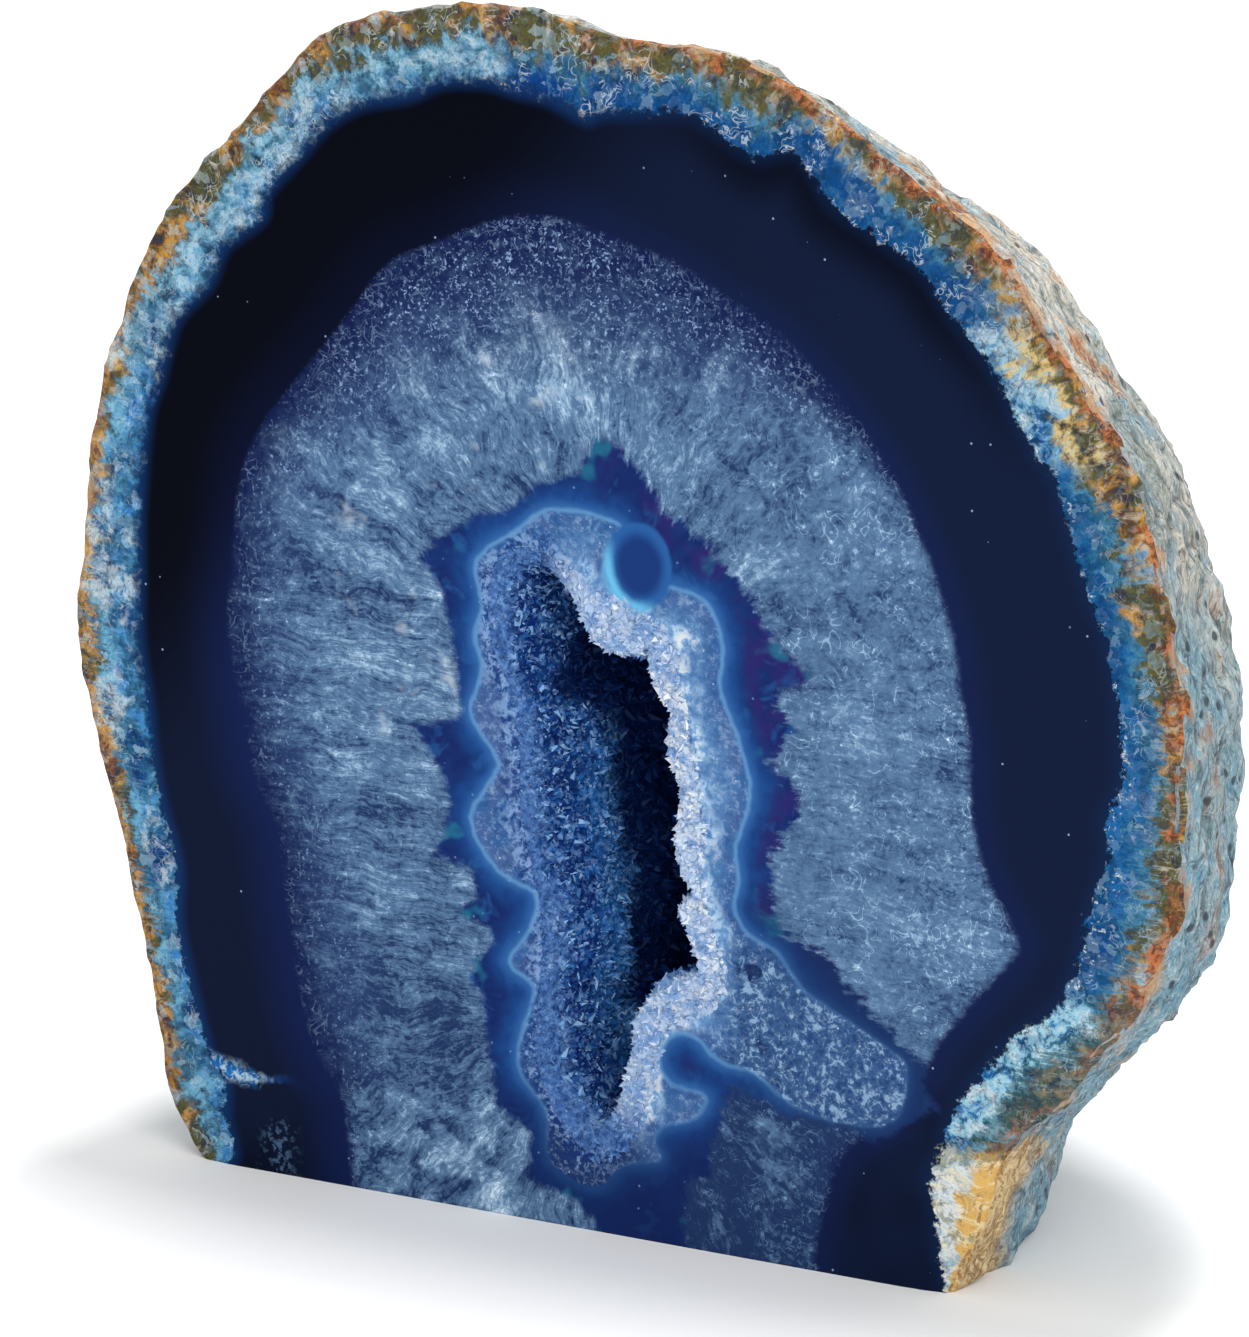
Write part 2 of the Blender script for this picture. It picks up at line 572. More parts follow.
class Paint:
    """A material and the nodes that are added to it."""

    def __init__(self, name):
        self.material = bpy.data.materials.new(name)
        self.material.use_nodes = True
        self.tree = self.material.node_tree
        self.shader = self.tree.nodes["Principled BSDF"]
        self.place = self.node("ShaderNodeTexCoord", output="Object")

    def put(self, socket, value):
        if isinstance(value, Wire):
            self.tree.links.new(value.socket, socket)
        elif isinstance(value, tuple) and len(value) == 3 and socket.type == "RGBA":
            socket.default_value = (*value, 1.0)
        else:
            socket.default_value = value

    def node(self, kind, settings=None, inputs=(), output=0):
        made = self.tree.nodes.new(kind)
        for name, value in (settings or {}).items():
            setattr(made, name, value)
        named = inputs.items() if isinstance(inputs, dict) else enumerate(inputs)
        for key, value in named:
            self.put(made.inputs[key], value)
        return Wire(self, made.outputs[output])

    def stored(self, name, output="Fac"):
        return self.node("ShaderNodeAttribute", {"attribute_name": name}, output=output)

    def noise(self, size, detail=3.0, roughness=0.55, at=None, bend=0.0):
        """Cloudy noise whose clouds are about size metres across, from 0 to 1."""
        inputs = {
            "Vector": at or self.place,
            "Scale": 1.0 / size,
            "Detail": detail,
            "Roughness": roughness,
            "Distortion": bend,
        }
        return self.node("ShaderNodeTexNoise", None, inputs)

    def cells(self, size, feature="F1", output="Distance", at=None):
        inputs = {"Vector": at or self.place, "Scale": 1.0 / size}
        return self.node("ShaderNodeTexVoronoi", {"feature": feature}, inputs, output)

    def stretched(self, vector, scale):
        """A vector with its parts scaled, for patterns that are longer one way."""
        return self.node("ShaderNodeVectorMath", {"operation": "MULTIPLY"}, [vector, scale])

    def bent(self, vector, size, amount):
        """A vector pushed about by noise, so that a regular pattern turns ragged."""
        inputs = {"Vector": vector, "Scale": 1.0 / size, "Detail": 2.0}
        push = self.node("ShaderNodeTexNoise", None, inputs, "Color")
        push = self.node("ShaderNodeVectorMath", {"operation": "SUBTRACT"}, [push, (0.5, 0.5, 0.5)])
        push = self.stretched(push, (amount, amount, amount))
        return self.node("ShaderNodeVectorMath", {"operation": "ADD"}, [vector, push])

    def mix(self, factor, first, second, blend="MIX"):
        made = self.tree.nodes.new("ShaderNodeMix")
        made.data_type = "RGBA"
        made.blend_type = blend
        self.put(made.inputs[0], factor)
        self.put(made.inputs[6], first)
        self.put(made.inputs[7], second)
        return Wire(self, made.outputs[2])

    def layers(self, base, *layers):
        """Lays colours over base, each through its own mask."""
        for mask, colour in layers:
            base = self.mix(mask, base, colour)
        return base

    def parts_of(self, vector, *names):
        """Single parts of a vector, such as its X and Z."""
        split = self.tree.nodes.new("ShaderNodeSeparateXYZ")
        self.put(split.inputs[0], vector)
        return [Wire(self, split.outputs[name]) for name in names]

    def threads(self, size, width, at=None):
        """Thin winding lines, 1 along their middle."""
        return self.noise(size, 1.0, 0.5, at, bend=1.4).near(0.5, width)

    def grains(self, size, reach, rarity, at=None):
        """Small round spots, one to a cell, in a share of the cells. rarity is 0 to 1."""
        chance = self.node(
            "ShaderNodeSeparateColor", None, [self.cells(size, output="Color", at=at)], "Red"
        )
        spot = self.cells(size, at=at).rise(reach, reach * 0.5)
        return spot * chance.rise(rarity, min(1.0, rarity + 0.04))

    def bump(self, height, depth, strength=1.0):
        """Small relief that only the light sees. depth is its height in metres."""
        inputs = {"Height": height, "Distance": depth, "Strength": strength}
        return self.node("ShaderNodeBump", None, inputs, "Normal")

    def finish(self, **inputs):
        for name, value in inputs.items():
            self.put(self.shader.inputs[name.replace("_", " ")], value)
        return self.material


def tint(red, green, blue):
    """A colour as a paint program shows it, 0 to 255, in the linear values that shaders take."""
    return tuple(((c / 255 + 0.055) / 1.055) ** 2.4 if c > 10 else c / 255 / 12.92 for c in (red, green, blue))


print("mid blue in linear values:", [round(c, 3) for c in tint(30, 72, 134)])

# %% [markdown]
# ## The polished face
# The face shows the stone's history from the rind inwards: a mottled rind, a band of nearly
# black blue chalcedony, a zone of coarse quartz whose fibres point at the hollow, a bright blue
# band with a torn outer edge, a thin pale line, and flat quartz up to the hollow. Each zone has
# its own colour formula, and masks made from the stored distances lay one over the other.
# It is written as one material, because the real face is one polished plane without gaps.

# %% The dark band
face = Paint("polished_agate")
rim_mm = face.stored("rim")
rind_mm = face.stored("rind")
quartz_mm = face.stored("quartz")
band_mm = face.stored("band")
line_mm = face.stored("line")
mouth_mm = face.stored("mouth")
fibre = face.stored("fibre", "Vector")
side, up = face.parts_of(face.place, "X", "Z")

INK = tint(4, 6, 17)
NAVY = tint(15, 26, 53)
LEFT_NAVY = tint(13, 22, 46)
NEAR_QUARTZ = tint(18, 32, 82)
NEAR_RIND = tint(16, 56, 112)

crown = up.rise(0.066, 0.088) * side.near(-0.008, 0.044)
soft_side = side.rise(0.012, -0.008)
dark = face.mix(side.rise(-0.015, 0.030), LEFT_NAVY, NAVY)
top_left = (up * 0.8 - side).rise(0.078, 0.100)
dark = face.mix(top_left, dark, INK)
upper_edge = rind_mm.rise(-6.0, -1.0) * up.rise(0.078, 0.098) * side.rise(0.0, 0.015)
dark = face.mix(upper_edge * 0.8, dark, INK)
dark = face.mix(face.noise(0.016, 2.0).rise(0.40, 0.70) * up.rise(0.050, 0.0) * 0.6, dark, INK)
glow = quartz_mm.rise(-3.5 - 2.5 * soft_side, 0.5) * (0.50 - 0.30 * crown + 0.15 * soft_side) * (1.0 - 0.7 * top_left)
dark = face.mix(glow, dark, NEAR_QUARTZ)
dark = face.mix(rind_mm.rise(-1.6, 0.2) * (0.15 + 0.45 * soft_side), dark, NEAR_RIND)
dust = face.grains(0.0017, 0.085, 0.80)
dark = face.mix(dust * 0.7, dark, tint(150, 176, 214))
print("the dark band is ready")

# %% [markdown]
# ### The quartz zone
# The fibres are noise that is squeezed across the fibre and long down its length, read at the
# fibre's root. Sugary grain, fine bright threads and single bright specks lie between them.
# Each of them only makes the stone lighter or darker, so they are added up as one tone, and the
# tone picks a colour from deep blue to white. Towards the dark band the quartz clears, and only
# bright specks are left on deep blue. It clears within a millimetre on the right of the face
# and takes nearly a centimetre on the left and at the top.

# %% The quartz zone
QUARTZ_DEEP = tint(30, 50, 90)
QUARTZ_GREY = tint(84, 115, 150)
QUARTZ_PALE = tint(138, 168, 196)
QUARTZ_WHITE = tint(208, 224, 238)
CLEAR_BLUE = tint(16, 27, 70)


def quartz_colour(tone):
    """Deep blue at 0, grey-blue at a half and white at 1."""
    return face.layers(
        QUARTZ_DEEP,
        (tone.rise(0.0, 0.56), QUARTZ_GREY),
        (tone.rise(0.48, 0.86), QUARTZ_PALE),
        (tone.rise(0.80, 1.15), QUARTZ_WHITE),
    )


wavy = face.bent(fibre, 5.0, 2.4)
long_fibre = face.stretched(wavy, (1.0, 0.13, 1.0))
short_fibre = face.stretched(wavy, (1.0, 0.25, 1.0))
wide_streaks = face.noise(2.6, 2.0, 0.5, at=long_fibre, bend=0.8)
streaks = face.noise(1.0, 2.5, 0.5, at=long_fibre, bend=1.0)
fine_streaks = face.noise(0.42, 2.0, 0.55, at=short_fibre, bend=1.0)
clouds = face.noise(0.006, 2.0, 0.5)
crumbs = face.noise(0.0015, 3.0, 0.6, bend=1.0)
grain = face.noise(0.00055, 2.0, 0.6)
wisps = face.noise(0.17, 2.0, 0.5, at=face.stretched(wavy, (1.0, 0.055, 1.0)), bend=0.9)
threads = face.threads(0.0021, 0.030) * face.noise(0.0035, 2.0).rise(0.46, 0.56)
shadows = face.threads(0.0017, 0.045) * face.noise(0.0031, 2.0).rise(0.48, 0.60)
dashes = face.threads(0.0008, 0.085) * face.noise(0.0007, 1.0).rise(0.52, 0.62)
dots = face.noise(0.00042, 1.0, 0.5).rise(0.60, 0.70)
specks = face.grains(0.0011, 0.13, 0.72)

left_share = side.rise(0.022, -0.004)
tone = (
    0.42
    + (wide_streaks - 0.5) * (0.42 + 0.42 * left_share)
    + (streaks - 0.5) * (0.46 + 0.36 * left_share)
    + (fine_streaks - 0.5) * 0.55
    + (wisps - 0.5) * (0.25 + 0.60 * left_share)
    + (clouds - 0.5) * 0.60
    + (crumbs - 0.5) * 0.45
    + (grain - 0.5) * 0.40
    + threads * (0.32 - 0.18 * left_share)
    - shadows * 0.18
    + specks * 0.35
    + dashes * 0.16
)
pale_ring = up.rise(0.060, 0.072) * side.rise(0.008, -0.002)
pale_crown = up.rise(0.076, 0.084) * up.rise(0.100, 0.090) * side.near(-0.006, 0.030)
low_left = up.rise(0.036, 0.012) * side.rise(-0.008, -0.020)
patch_noise = face.noise(0.0034, 2.0, 0.6)
base_patches = up.rise(0.0125, 0.0085) * side.near(-0.020, 0.017) * patch_noise.rise(0.40, 0.54)
below_branch = up.rise(0.022, 0.017) * side.rise(0.002, 0.008)
tone = tone + pale_crown * 0.12 + pale_ring * 0.05 - low_left * 0.22 + base_patches * 0.36 - below_branch * 0.32
tone = tone - quartz_mm.rise(5.0, 1.0) * 0.05

above_base = up.rise(0.008, 0.014)
soft_left = side.rise(0.030, 0.004) * above_base
tone = tone - quartz_mm.rise(15.0, 3.0) * soft_left * 0.12
starts = 5.5 * crown - 0.6 * soft_left - 0.2
ends = 1.0 + 9.0 * soft_left + 9.0 * crown
ragged = quartz_mm + ((streaks - 0.5) * 7.0 + (crumbs - 0.5) * 4.0) * (0.12 + soft_left)
quartz_cover = ((ragged - starts) / (ends - starts)).rise(0.0, 1.0)
sparkle = (dashes * (0.8 - 0.6 * soft_left * (1.0 - crown)) + dots * 0.8 + specks * 0.8).math("MINIMUM", 1.0)
sparkle = sparkle * (0.45 + 0.55 * face.noise(0.0030, 2.0).rise(0.42, 0.58))
inwards = (quartz_mm.rise(-1.0, 6.0) + 0.5 * crown).math("MINIMUM", 1.0)
haze = quartz_mm.rise(0.0, 9.0) * (1.0 - 0.7 * crown)
clear = face.mix(haze, CLEAR_BLUE, tint(48, 72, 118))
clear = face.mix(((crumbs - 0.46) * 2.0).math("MAXIMUM", 0.0) * (0.10 + 0.45 * inwards), clear, QUARTZ_GREY)
clear = face.mix(threads * 0.25, clear, QUARTZ_PALE)
clear = face.mix(sparkle * (0.12 + 0.75 * inwards), clear, tint(150, 178, 220))
outer_sparkle = sparkle * quartz_mm.rise(10.0, 1.0) * 0.26
quartz = face.mix(quartz_cover, clear, quartz_colour(tone + outer_sparkle))
warm_noise = face.noise(0.0032, 2.0, 0.6)
warm_patch = warm_noise.rise(0.60, 0.80) * quartz_mm.rise(9.0, 13.0) * up.rise(0.040, 0.055) * side.rise(0.0, -0.010)
quartz = face.mix(warm_patch * 0.6, quartz, tint(190, 202, 210))
corner_clump = up.rise(0.0065, 0.0040) * side.near(-0.0370, 0.0030) * grain.rise(0.50, 0.66)
dark = face.mix(corner_clump * 0.6, dark, QUARTZ_GREY)
print("the quartz zone is ready")

# %% [markdown]
# ### The blue band
# The band's outer edge is torn along the fibres, so the same fibre noise pushes it in and out.
# It is royal blue beside the pale line and darkens outwards, with some purple on the right
# and a little teal. Near the tip of the branch, at the lower right, it thins out and darkens.

# %% The blue band
BAND_BLUE = tint(26, 68, 130)
BAND_DEEP = tint(19, 37, 92)
BAND_PURPLE = tint(40, 34, 98)
BAND_TEAL = tint(34, 112, 140)
BAND_LIT = tint(56, 106, 166)

tear = face.noise(0.9, 4.0, 0.65, at=face.stretched(fibre, (1.0, 0.3, 1.0)), bend=0.5)
nibble = face.noise(0.0012, 3.0, 0.7)
right_band = side.rise(-0.004, 0.006)
torn_band = band_mm + (tear - 0.5) * (1.4 + 2.6 * right_band) + (nibble - 0.5) * 1.6
branch_tip = side.rise(0.008, 0.026) * up.rise(0.040, 0.034)
band_cover = (torn_band - branch_tip * 1.0).rise(-0.45, 0.60)
from_line = -line_mm + (face.noise(0.0025, 2.0) - 0.5) * 0.8
outwards = from_line.rise(0.4, 3.4)
band_clouds = face.noise(0.0036, 3.0, 0.6, bend=0.5)
band = face.mix((outwards * 0.9 + (band_clouds - 0.5) * 1.6).math("MAXIMUM", 0.0), BAND_BLUE, BAND_DEEP)
band = face.mix(band_clouds.rise(0.56, 0.66) * 0.5, band, tint(36, 88, 150))
low_band = up.rise(0.018, 0.006)
band = face.mix((nibble - 0.5).rise(0.0, 0.2) * 0.35, band, BAND_DEEP)
band = face.mix(low_band * 0.75, band, tint(18, 34, 82))
purple = face.noise(0.0045, 3.0).rise(0.42, 0.58) * from_line.rise(1.4, 3.2) * right_band * up.rise(0.010, 0.022)
band = face.mix(purple * 0.8, band, BAND_PURPLE)
teal = face.noise(0.0045, 2.0).rise(0.58, 0.68) * torn_band.rise(3.0, 0.6)
band = face.mix(teal * 0.65, band, BAND_TEAL)
band = face.mix(from_line.rise(1.5, 0.1) * (0.45 - 0.30 * low_band), band, BAND_LIT)
band = face.mix(face.grains(0.0010, 0.15, 0.85) * 0.5, band, tint(120, 156, 206))
band = face.mix(branch_tip * 0.8, band, tint(22, 40, 82))
print("the blue band is ready")

# %% [markdown]
# ### The flat quartz, the eye and the sugary lip
# Between the pale line and the hollow the quartz is a soft grey-blue. It turns into white sugar
# on the right of the hollow, where small crystals reach up to the polished plane. Just above
# the hollow an eye of blue chalcedony is cut across, with a lighter crescent under it.

# %% The flat quartz
EYE = (3.1, 67.8)
EYE_RADII = (3.3, 4.1)
FLAT_BLUE = tint(50, 90, 144)
FLAT_LILAC = tint(66, 92, 142)
FLAT_PALE = tint(80, 122, 170)
LIP_WHITE = tint(188, 208, 228)
LINE_PALE = tint(96, 146, 190)

flat_clouds = face.noise(0.0035, 3.0, 0.6)
right_of_hollow = (side + up.rise(0.056, 0.062) * 0.0035).rise(-0.0035, 0.0015)
branch = side.rise(0.0100, 0.0150) * up.rise(0.036, 0.030)
flat_tone = (crumbs - 0.5) * 1.4 + (grain - 0.5) * 1.0 + threads * 0.25 - shadows * 0.20
flat = face.mix(flat_clouds.rise(0.40, 0.60), FLAT_BLUE, FLAT_LILAC)
flat = face.mix(right_of_hollow * line_mm.rise(0.2, 2.8) * 0.8, flat, FLAT_PALE)
flat = face.mix(branch * 0.85, flat, tint(48, 78, 122))
low_flat = up.rise(0.020, 0.010) * side.rise(0.0060, 0.0010)
flat = face.mix(low_flat * 0.95, flat, tint(24, 46, 94))
rough_flat = 0.35 + 0.40 * branch - 0.15 * low_flat
flat = face.mix(flat_tone.rise(0.02, 0.32) * rough_flat, flat, tint(142, 174, 204))
flat = face.mix(flat_tone.rise(-0.02, -0.30) * rough_flat, flat, tint(28, 56, 104))
flat = face.mix((specks + dashes * 0.35) * 0.6, flat, LIP_WHITE)
holes = crumbs.rise(0.50, 0.40) * face.noise(0.0028, 2.0).rise(0.50, 0.58) * branch * side.rise(0.022, 0.014)
flat = face.mix(holes * 0.85, flat, tint(14, 32, 76))
sugar_noise = face.noise(0.0022, 3.0, 0.65)
lip_tone = (crumbs - 0.5) * 2.2 + (grain - 0.5) * 1.6 + 0.5
lip_colour = face.layers(
    tint(96, 138, 186),
    (lip_tone.rise(0.25, 0.75), tint(156, 186, 214)),
    (face.noise(0.0045, 2.0).rise(0.44, 0.60) * lip_tone.rise(0.45, 0.95), tint(212, 216, 218)),
    (lip_tone.rise(0.22, -0.05) * 0.7, tint(62, 104, 162)),
)
lip_reach = (mouth_mm + (sugar_noise - 0.5) * 7.0 - up.rise(0.058, 0.062) * 0.6).rise(2.4, 0.2)
flat = face.mix(lip_reach * right_of_hollow * (1.0 - 0.4 * branch) * up.rise(0.0085, 0.0135), flat, lip_colour)
left_sugar = (mouth_mm + (sugar_noise - 0.5) * 5.0).rise(2.6, 0.3) * (1.0 - right_of_hollow)
flat = face.mix(left_sugar * flat_tone.rise(-0.05, 0.15) * 0.6, flat, tint(128, 160, 206))
flat = face.mix(left_sugar * flat_tone.rise(-0.05, -0.20) * 0.8, flat, tint(24, 50, 110))

line = line_mm + (face.noise(0.0018, 2.0) - 0.5) * 0.5
flat_side = line.rise(-0.15, 0.15)
inner = face.mix(flat_side, band, flat)
line_fade = (1.0 - 0.85 * branch_tip) * up.rise(0.004, 0.024)
inner = face.mix(line.near(0.0, 1.0) * 0.28 * line_fade, inner, BAND_LIT)
inner = face.mix(line.near(0.0, 0.42) * 0.65 * line_fade, inner, LINE_PALE)

eye_x = (side - (EYE[0] * MM + FACE_X)) / (EYE_RADII[0] * MM)
eye_z = (up - EYE[1] * MM) / (EYE_RADII[1] * MM)
eye_reach = (eye_x * eye_x + eye_z * eye_z).math("SQRT") + (sugar_noise - 0.5) * 0.15
crescent = eye_reach.near(1.0, 0.26) * (-0.75 * eye_x - 0.75 * eye_z).rise(0.1, 0.9)
eye = face.mix(eye_reach.rise(0.55, 0.95), tint(24, 52, 112), tint(38, 88, 150))
inner = face.mix(eye_reach.rise(1.12, 0.98), inner, eye)
inner = face.mix(crescent * 0.9, inner, tint(104, 184, 222))

agate = face.mix(quartz_mm.rise(-0.3, 0.5), dark, quartz)
agate = face.mix(band_cover, agate, inner)
print("the inner quartz is ready")

# %% [markdown]
# ### The rind on the face
# The rind is made of fine blue and white chalcedony grains inside, olive and ochre clay
# stains further out, and a rusty line where the outer skin is cut. The share of the way from
# the rim to the inner edge picks the colour. Cloudy noise of several sizes shifts the layers,
# so that they meet in patches and not in stripes. The dye took deeper on the right.

# %% The rind on the face
RIND_DEEP = tint(10, 52, 116)
RIND_BLUE = tint(24, 98, 152)
RIND_TEAL = tint(38, 104, 136)
RIND_PALE = tint(112, 172, 202)
RIND_WHITE = tint(206, 216, 218)
RIND_OLIVE = tint(88, 84, 48)
RIND_OCHRE = tint(188, 140, 66)
RIND_RUST = tint(164, 88, 52)
RIND_SHADE = tint(14, 42, 72)

bite = face.noise(0.0016, 4.0, 0.75)
share = rim_mm / (rim_mm + rind_mm).math("MAXIMUM", 0.5)
patch = face.noise(0.0075, 3.0, 0.6)
mottle = face.noise(0.0024, 4.0, 0.7, bend=0.4)
dye = face.noise(0.0050, 3.0, 0.6, bend=0.6)
fleck = face.noise(0.0009, 3.0, 0.7, bend=0.8)
comb = face.noise(0.30, 3.0, 0.6, at=face.stretched(fibre, (1.0, 0.10, 1.0)), bend=0.6)
block_at = face.bent(face.place, 0.0009, 0.0016)
rind_block = face.node("ShaderNodeSeparateColor", None, [face.cells(0.0010, output="Color", at=block_at)])
hairs = face.threads(0.0013, 0.05) * face.noise(0.0022, 2.0).rise(0.50, 0.60)
cracks = face.threads(0.0016, 0.05) * face.noise(0.0024, 2.0).rise(0.48, 0.58)
right_share = side.rise(-0.012, 0.012)
top_share = up.rise(0.085, 0.105)
layer_at = share + (patch - 0.5) * 1.3 + (mottle - 0.5) * 0.9 + (comb - 0.5) * 0.9 + 0.05 * side.rise(-0.010, -0.030) - 0.05 * top_share
pale_top = up.rise(0.076, 0.092) * side.rise(-0.0100, -0.0125)
pale_low = up.near(0.0235, 0.0125).rise(0.0, 0.45) * side.rise(0.026, 0.030)
pale_right = up.near(0.0890, 0.0090).rise(0.0, 0.5) * side.rise(0.030, 0.036)
pale_places = pale_top * (0.12 + 0.46 * mottle.rise(0.42, 0.56)) + pale_low * mottle.rise(0.42, 0.52) + pale_right * mottle.rise(0.40, 0.54) * 0.8
deep_top = up.rise(0.092, 0.102) * side.rise(-0.0125, -0.0100)
rust_width = (rim_mm + (mottle - 0.5) * 8.0).rise(1.5, 0.2)
rust = rust_width * patch.rise(0.42, 0.54) * (0.35 + 0.5 * right_share) * (1.0 - 0.6 * pale_low)
dark_side = (right_share + top_share).math("MINIMUM", 1.0)
rind_colour = face.layers(
    face.mix((dye + 0.06 * dark_side).rise(0.44, 0.56), RIND_OCHRE, RIND_OLIVE),
    ((dye + mottle).rise(0.96, 0.80) * 0.85, tint(58, 48, 34)),
    (comb.rise(0.55, 0.66) * 0.6, tint(206, 168, 112)),
    (layer_at.rise(0.24, 0.50) * 0.95, RIND_TEAL),
    (dye.rise(0.45, 0.58) * layer_at.rise(0.30, 0.55) * (0.9 - 0.55 * dark_side), RIND_PALE),
    (layer_at.rise(0.50, 0.90) * (0.45 + 0.4 * dark_side), RIND_BLUE),
    (layer_at.rise(0.55, 0.95) * comb.rise(0.46, 0.58) * (0.35 + 0.6 * dark_side), RIND_DEEP),
    (dye.rise(0.48, 0.36) * layer_at.rise(0.45, 0.75) * 0.85, RIND_DEEP),
    (layer_at.rise(0.55, 0.85) * dye.rise(0.50, 0.60) * 0.55, tint(26, 118, 196)),
    (deep_top * layer_at.rise(0.40, 0.66) * (0.55 + 0.35 * mottle.rise(0.56, 0.44)), tint(8, 56, 126)),
    (pale_places * layer_at.rise(0.34, 0.54), tint(146, 194, 214)),
    (pale_places * layer_at.rise(0.45, 0.65) * mottle.rise(0.52, 0.60) * 0.6, RIND_WHITE),
    (pale_right * layer_at.near(0.42, 0.24) * 0.8, tint(222, 190, 112)),
    (pale_low * layer_at.rise(0.66, 0.54) * 0.65, tint(52, 88, 92)),
    (patch.rise(0.55, 0.63) * layer_at.rise(0.60, 0.34) * (0.75 - 0.35 * right_share), tint(220, 176, 100)),
    (patch.rise(0.53, 0.63) * mottle.rise(0.48, 0.60) * (0.6 - 0.35 * dark_side), RIND_WHITE),
    (comb.rise(0.56, 0.68) * (0.4 - 0.15 * dark_side), RIND_PALE),
    (fleck.rise(0.54, 0.70) * 0.30, RIND_PALE),
    (fleck.rise(0.48, 0.32) * 0.60, RIND_SHADE),
    (mottle.rise(0.46, 0.34) * 0.6, RIND_SHADE),
    (right_share * layer_at.rise(0.40, 0.75) * (0.55 - 0.5 * pale_low - 0.4 * pale_right), tint(12, 74, 124)),
    (rind_block.rise(0.76, 0.96) * (0.32 - 0.16 * right_share), tint(176, 208, 222)),
    (rind_block.rise(0.30, 0.08) * 0.35, RIND_SHADE),
    (cracks * 0.35, RIND_SHADE),
    (hairs * (0.30 + 0.25 * top_share), RIND_WHITE),
    (layer_at.rise(0.85, 1.05) * right_share * dashes * 0.9, RIND_WHITE),
    (rust, face.mix(fleck.rise(0.44, 0.58), tint(104, 60, 40), tint(184, 108, 66))),
)
corner_block = (up + (mottle - 0.5) * 0.008).rise(0.0150, 0.0138) * side.rise(0.020, 0.028)
block_colour = face.layers(
    tint(208, 216, 218),
    (mottle.rise(0.50, 0.60) * 0.7, tint(112, 158, 184)),
    (dye.rise(0.49, 0.40) * 0.7, tint(62, 112, 142)),
    (layer_at.rise(0.46, 0.26), tint(214, 172, 100)),
    (comb.rise(0.52, 0.60) * 0.6, tint(234, 220, 182)),
    (mottle.rise(0.47, 0.38) * 0.6, tint(98, 112, 92)),
    (fleck.rise(0.46, 0.32) * 0.6, tint(108, 96, 72)),
)
rind_colour = face.mix(corner_block, rind_colour, block_colour)
edge_blur = 0.25 + 0.8 * soft_side * up.rise(0.030, 0.060)
rind_edge = (rind_mm + (bite - 0.5) * 3.6) / edge_blur
rind_cover = rind_edge.rise(-0.5, 0.8)
vein_middle = 0.0098 + (face.noise(0.004, 3.0) - 0.5) * 0.004
vein = ((up - vein_middle) / side.rise(-0.0345, -0.0440).math("MAXIMUM", 0.35)).near(0.0, 0.0021) * side.rise(-0.0330, -0.0420) * mottle.rise(0.36, 0.48)
vein_blue = face.mix(fleck.rise(0.44, 0.60), tint(24, 104, 178), tint(176, 206, 222))
agate = face.mix(vein * 0.9, agate, face.mix(side.rise(-0.0400, -0.0355), vein_blue, tint(20, 56, 130)))
colour = face.mix(rind_cover, agate, rind_colour)
rind_height = mottle * 1.5 * rind_cover
polished = face.finish(
    Base_Color=colour,
    Roughness=0.25,
    Specular_IOR_Level=0.02,
    Normal=face.bump(rind_height, 0.0008, 0.8),
)
print("the polished face has", len(face.tree.nodes), "nodes")

# %% [markdown]
# ### One zone at a time
# A renderer works out every formula that a material holds, even where the masks hide most of
# them. The light line's formula costs time on the rind, and the rind's on the light line. So
# each zone gets a copy of the material that is linked to that zone's colour alone. The faces
# of the net that lie well inside a zone take its copy, and those on a border keep the whole.

# %% One zone at a time
TORN = 3.0
TORN_INSIDE = 4.2
BITTEN = 2.6
BLURRED = 0.6
corner_points = np.empty(len(stone_mesh.loops), int)
stone_mesh.loops.foreach_get("vertex_index", corner_points)
first_corners = np.empty(len(stone_mesh.polygons), int)
stone_mesh.polygons.foreach_get("loop_start", first_corners)
face_slots = np.empty(len(stone_mesh.polygons), int)
stone_mesh.polygons.foreach_get("material_index", face_slots)


def farther_in(name, distance):
    """Which faces lie wholly more than a distance in millimetres inside an edge."""
    return np.minimum.reduceat(inside_of[name][corner_points], first_corners) > distance


def farther_out(name, distance):
    """Which faces lie wholly more than a distance in millimetres outside an edge."""
    return np.maximum.reduceat(inside_of[name][corner_points], first_corners) < -distance


def only(name, colour, bumpy):
    """A copy of the face's material that is linked to one colour."""
    material = polished.copy()
    material.name = name
    nodes = material.node_tree.nodes
    shader = nodes[face.shader.name]
    maker = colour.socket.node
    output = list(maker.outputs).index(colour.socket)
    material.node_tree.links.new(nodes[maker.name].outputs[output], shader.inputs["Base Color"])
    if not bumpy:
        material.node_tree.links.remove(shader.inputs["Normal"].links[0])
    return material


near_vein = ~(farther_out("quartz", BLURRED)) | (np.minimum.reduceat(z[corner_points], first_corners) > 16.0)
clear_of_vein = near_vein | (np.minimum.reduceat(x[corner_points], first_corners) > -32.0)
off_band = farther_out("band", TORN)
in_dark = farther_out("quartz", BLURRED) & off_band & clear_of_vein
off_rind = farther_out("rind", BITTEN)
zones = (
    ("agate_rind_edge", face.mix(rind_cover, dark, rind_colour), True, in_dark),
    ("agate_dark", dark, False, in_dark & off_rind),
    ("agate_rind", rind_colour, True, in_dark & farther_in("rind", BITTEN)),
    ("agate_quartz", quartz, False, farther_in("quartz", BLURRED) & off_band & off_rind),
    ("agate_band_edge", face.mix(band_cover, quartz, inner), False, farther_in("quartz", BLURRED) & ~off_band),
    ("agate_inside", inner, False, farther_in("band", TORN_INSIDE)),
)
zone_materials = []
on_the_face = face_slots == FACE_SLOT
